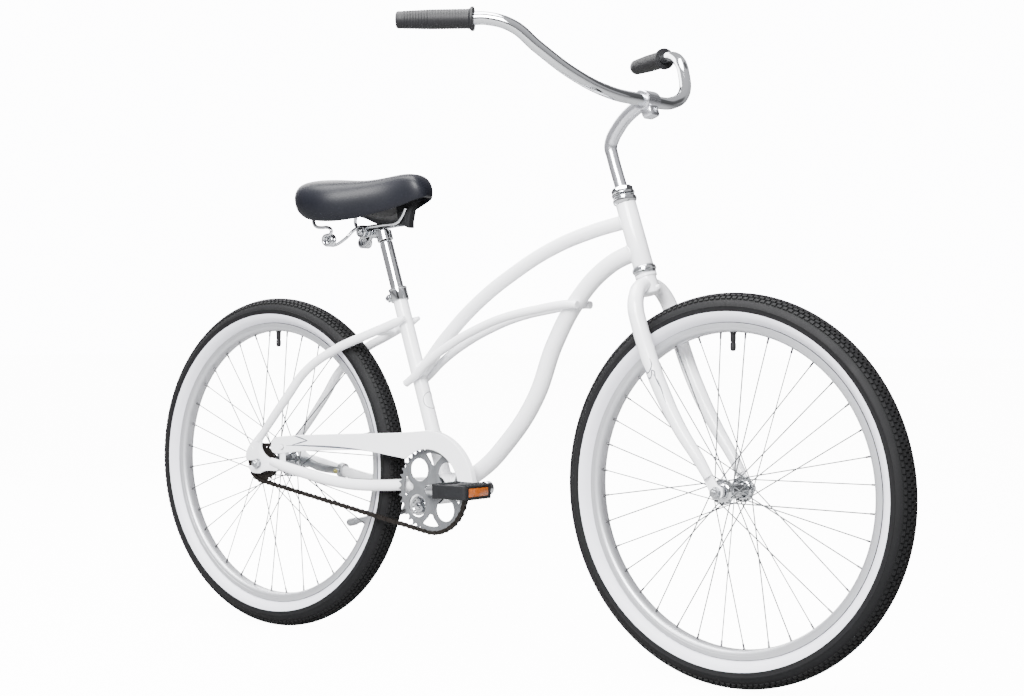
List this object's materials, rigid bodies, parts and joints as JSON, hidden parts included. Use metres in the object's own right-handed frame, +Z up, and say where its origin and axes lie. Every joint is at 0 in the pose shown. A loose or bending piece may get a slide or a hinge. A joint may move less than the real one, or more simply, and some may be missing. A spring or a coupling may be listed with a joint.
{
  "type": "bicycle",
  "caption": "Single-speed beach cruiser bicycle with a curved step-through frame, balloon whitewall tyres, swept handlebar, wide sprung saddle and chain guard.",
  "frame": {"origin": "on the ground, midway between the two axles", "axes": "+X forwards, +Y to the rider's left, +Z up"},
  "size_m": [1.741, 0.7366, 1.1418],
  "materials": {
    "white_paint": "gloss",
    "chrome": "polished",
    "steel": "satin",
    "dark_steel": "oiled, dark",
    "aluminium": "satin",
    "tyre_rubber": "matte, white side walls",
    "soft_rubber": "matte",
    "black_vinyl": "soft sheen, grained",
    "black_plastic": "satin"
  },
  "bodies": {
    "frame": {"head_tube": "white_paint", "top_tube": "white_paint", "down_tube": "white_paint", "side_bar_right": "white_paint", "side_bar_left": "white_paint", "seat_tube": "white_paint", "bottom_bracket_shell": "white_paint", "chain_stay_right": "white_paint", "chain_stay_left": "white_paint", "seat_stay_right": "white_paint", "seat_stay_left": "white_paint", "dropout_right": "white_paint", "dropout_left": "white_paint", "chain_stay_bridge": "white_paint", "seat_stay_bridge": "white_paint", "seat_clamp": "chrome", "headset_cup_upper": "chrome", "headset_cup_lower": "chrome", "bb_cup_right": "chrome", "bb_cup_left": "chrome", "chain_guard": "white_paint", "rear_axle": "steel", "brake_arm": "chrome", "brake_strap": "steel", "chain": "dark_steel"},
    "fork": {"fork_crown": "white_paint", "fork_blade_right": "white_paint", "fork_blade_left": "white_paint", "headset_locknut": "chrome", "front_axle": "steel"},
    "front_wheel": {"front_tyre": "tyre_rubber", "front_inner_tube": "soft_rubber", "front_rim": "aluminium", "front_spokes_right": "steel", "front_spokes_left": "steel", "front_hub": "chrome"},
    "rear_wheel": {"rear_tyre": "tyre_rubber", "rear_inner_tube": "soft_rubber", "rear_rim": "aluminium", "rear_spokes_right": "steel", "rear_spokes_left": "steel", "rear_hub": "chrome"},
    "cog": {"rear_cog": "dark_steel"},
    "crank": {"crank": "chrome", "chainring": "aluminium", "pedal_axle_right": "steel", "pedal_axle_left": "steel"},
    "pedal_right": {"pedal_right": "black_plastic"},
    "pedal_left": {"pedal_left": "black_plastic"},
    "stem": {"stem": "chrome"},
    "bar": {"handlebar": "chrome", "grip_right": "soft_rubber", "grip_left": "soft_rubber"},
    "post": {"seatpost": "chrome", "saddle_clamp": "chrome"},
    "saddle": {"saddle_cushion": "black_vinyl", "saddle_base": "black_plastic", "saddle_rail_right": "chrome", "saddle_rail_left": "chrome"},
    "kickstand": {"kickstand": "chrome"}
  },
  "joints": [
    {"name": "steering", "type": "hinge", "parent": "frame", "child": "fork", "pos_m": [0.48864, 0, 0.31732], "axis": [-0.3173, 0, 0.9483], "range_deg": [-90, 90]},
    {"name": "front_wheel_spin", "type": "hinge", "parent": "fork", "child": "front_wheel", "pos_m": [0.537, 0, 0.3335], "axis": [0, 1, 0], "continuous": true},
    {"name": "rear_wheel_spin", "type": "hinge", "parent": "frame", "child": "rear_wheel", "pos_m": [-0.537, 0, 0.3335], "axis": [0, 1, 0], "continuous": true},
    {"name": "crank_spin", "type": "hinge", "parent": "frame", "child": "crank", "pos_m": [-0.08931, 0, 0.3034], "axis": [0, 1, 0], "continuous": true, "deforming": ["chain"]},
    {"name": "cog_spin", "type": "hinge", "parent": "frame", "child": "cog", "pos_m": [-0.537, 0, 0.3335], "axis": [0, 1, 0], "continuous": true},
    {"name": "pedal_right_spin", "type": "hinge", "parent": "crank", "child": "pedal_right", "pos_m": [0.06211, 0, 0.31665], "axis": [0, 1, 0], "continuous": true},
    {"name": "pedal_left_spin", "type": "hinge", "parent": "crank", "child": "pedal_left", "pos_m": [-0.24073, 0, 0.29015], "axis": [0, 1, 0], "continuous": true},
    {"name": "stem_height", "type": "slide", "parent": "fork", "child": "stem", "axis": [-0.3173, 0, 0.9483], "range_m": [-0.03, 0.015]},
    {"name": "handlebar_tilt", "type": "hinge", "parent": "stem", "child": "bar", "pos_m": [0.36295, 0, 1.00181], "axis": [0, 1, 0], "range_deg": [-20, 20]},
    {"name": "saddle_height", "type": "slide", "parent": "frame", "child": "post", "axis": [-0.3123, 0, 0.95], "range_m": [-0.08, 0.1]},
    {"name": "saddle_tilt", "type": "hinge", "parent": "post", "child": "saddle", "pos_m": [-0.28313, 0, 0.79406], "axis": [0, 1, 0], "range_deg": [-12, 12]},
    {"name": "kickstand_fold", "type": "hinge", "parent": "frame", "child": "kickstand", "pos_m": [-0.1575, 0.025, 0.265], "axis": [0, -0.987, -0.161], "range_deg": [0, 51]}
  ],
  "couplings": [
    {"joint": "cog_spin", "follows": "crank_spin", "ratio": 2.2222}
  ]
}
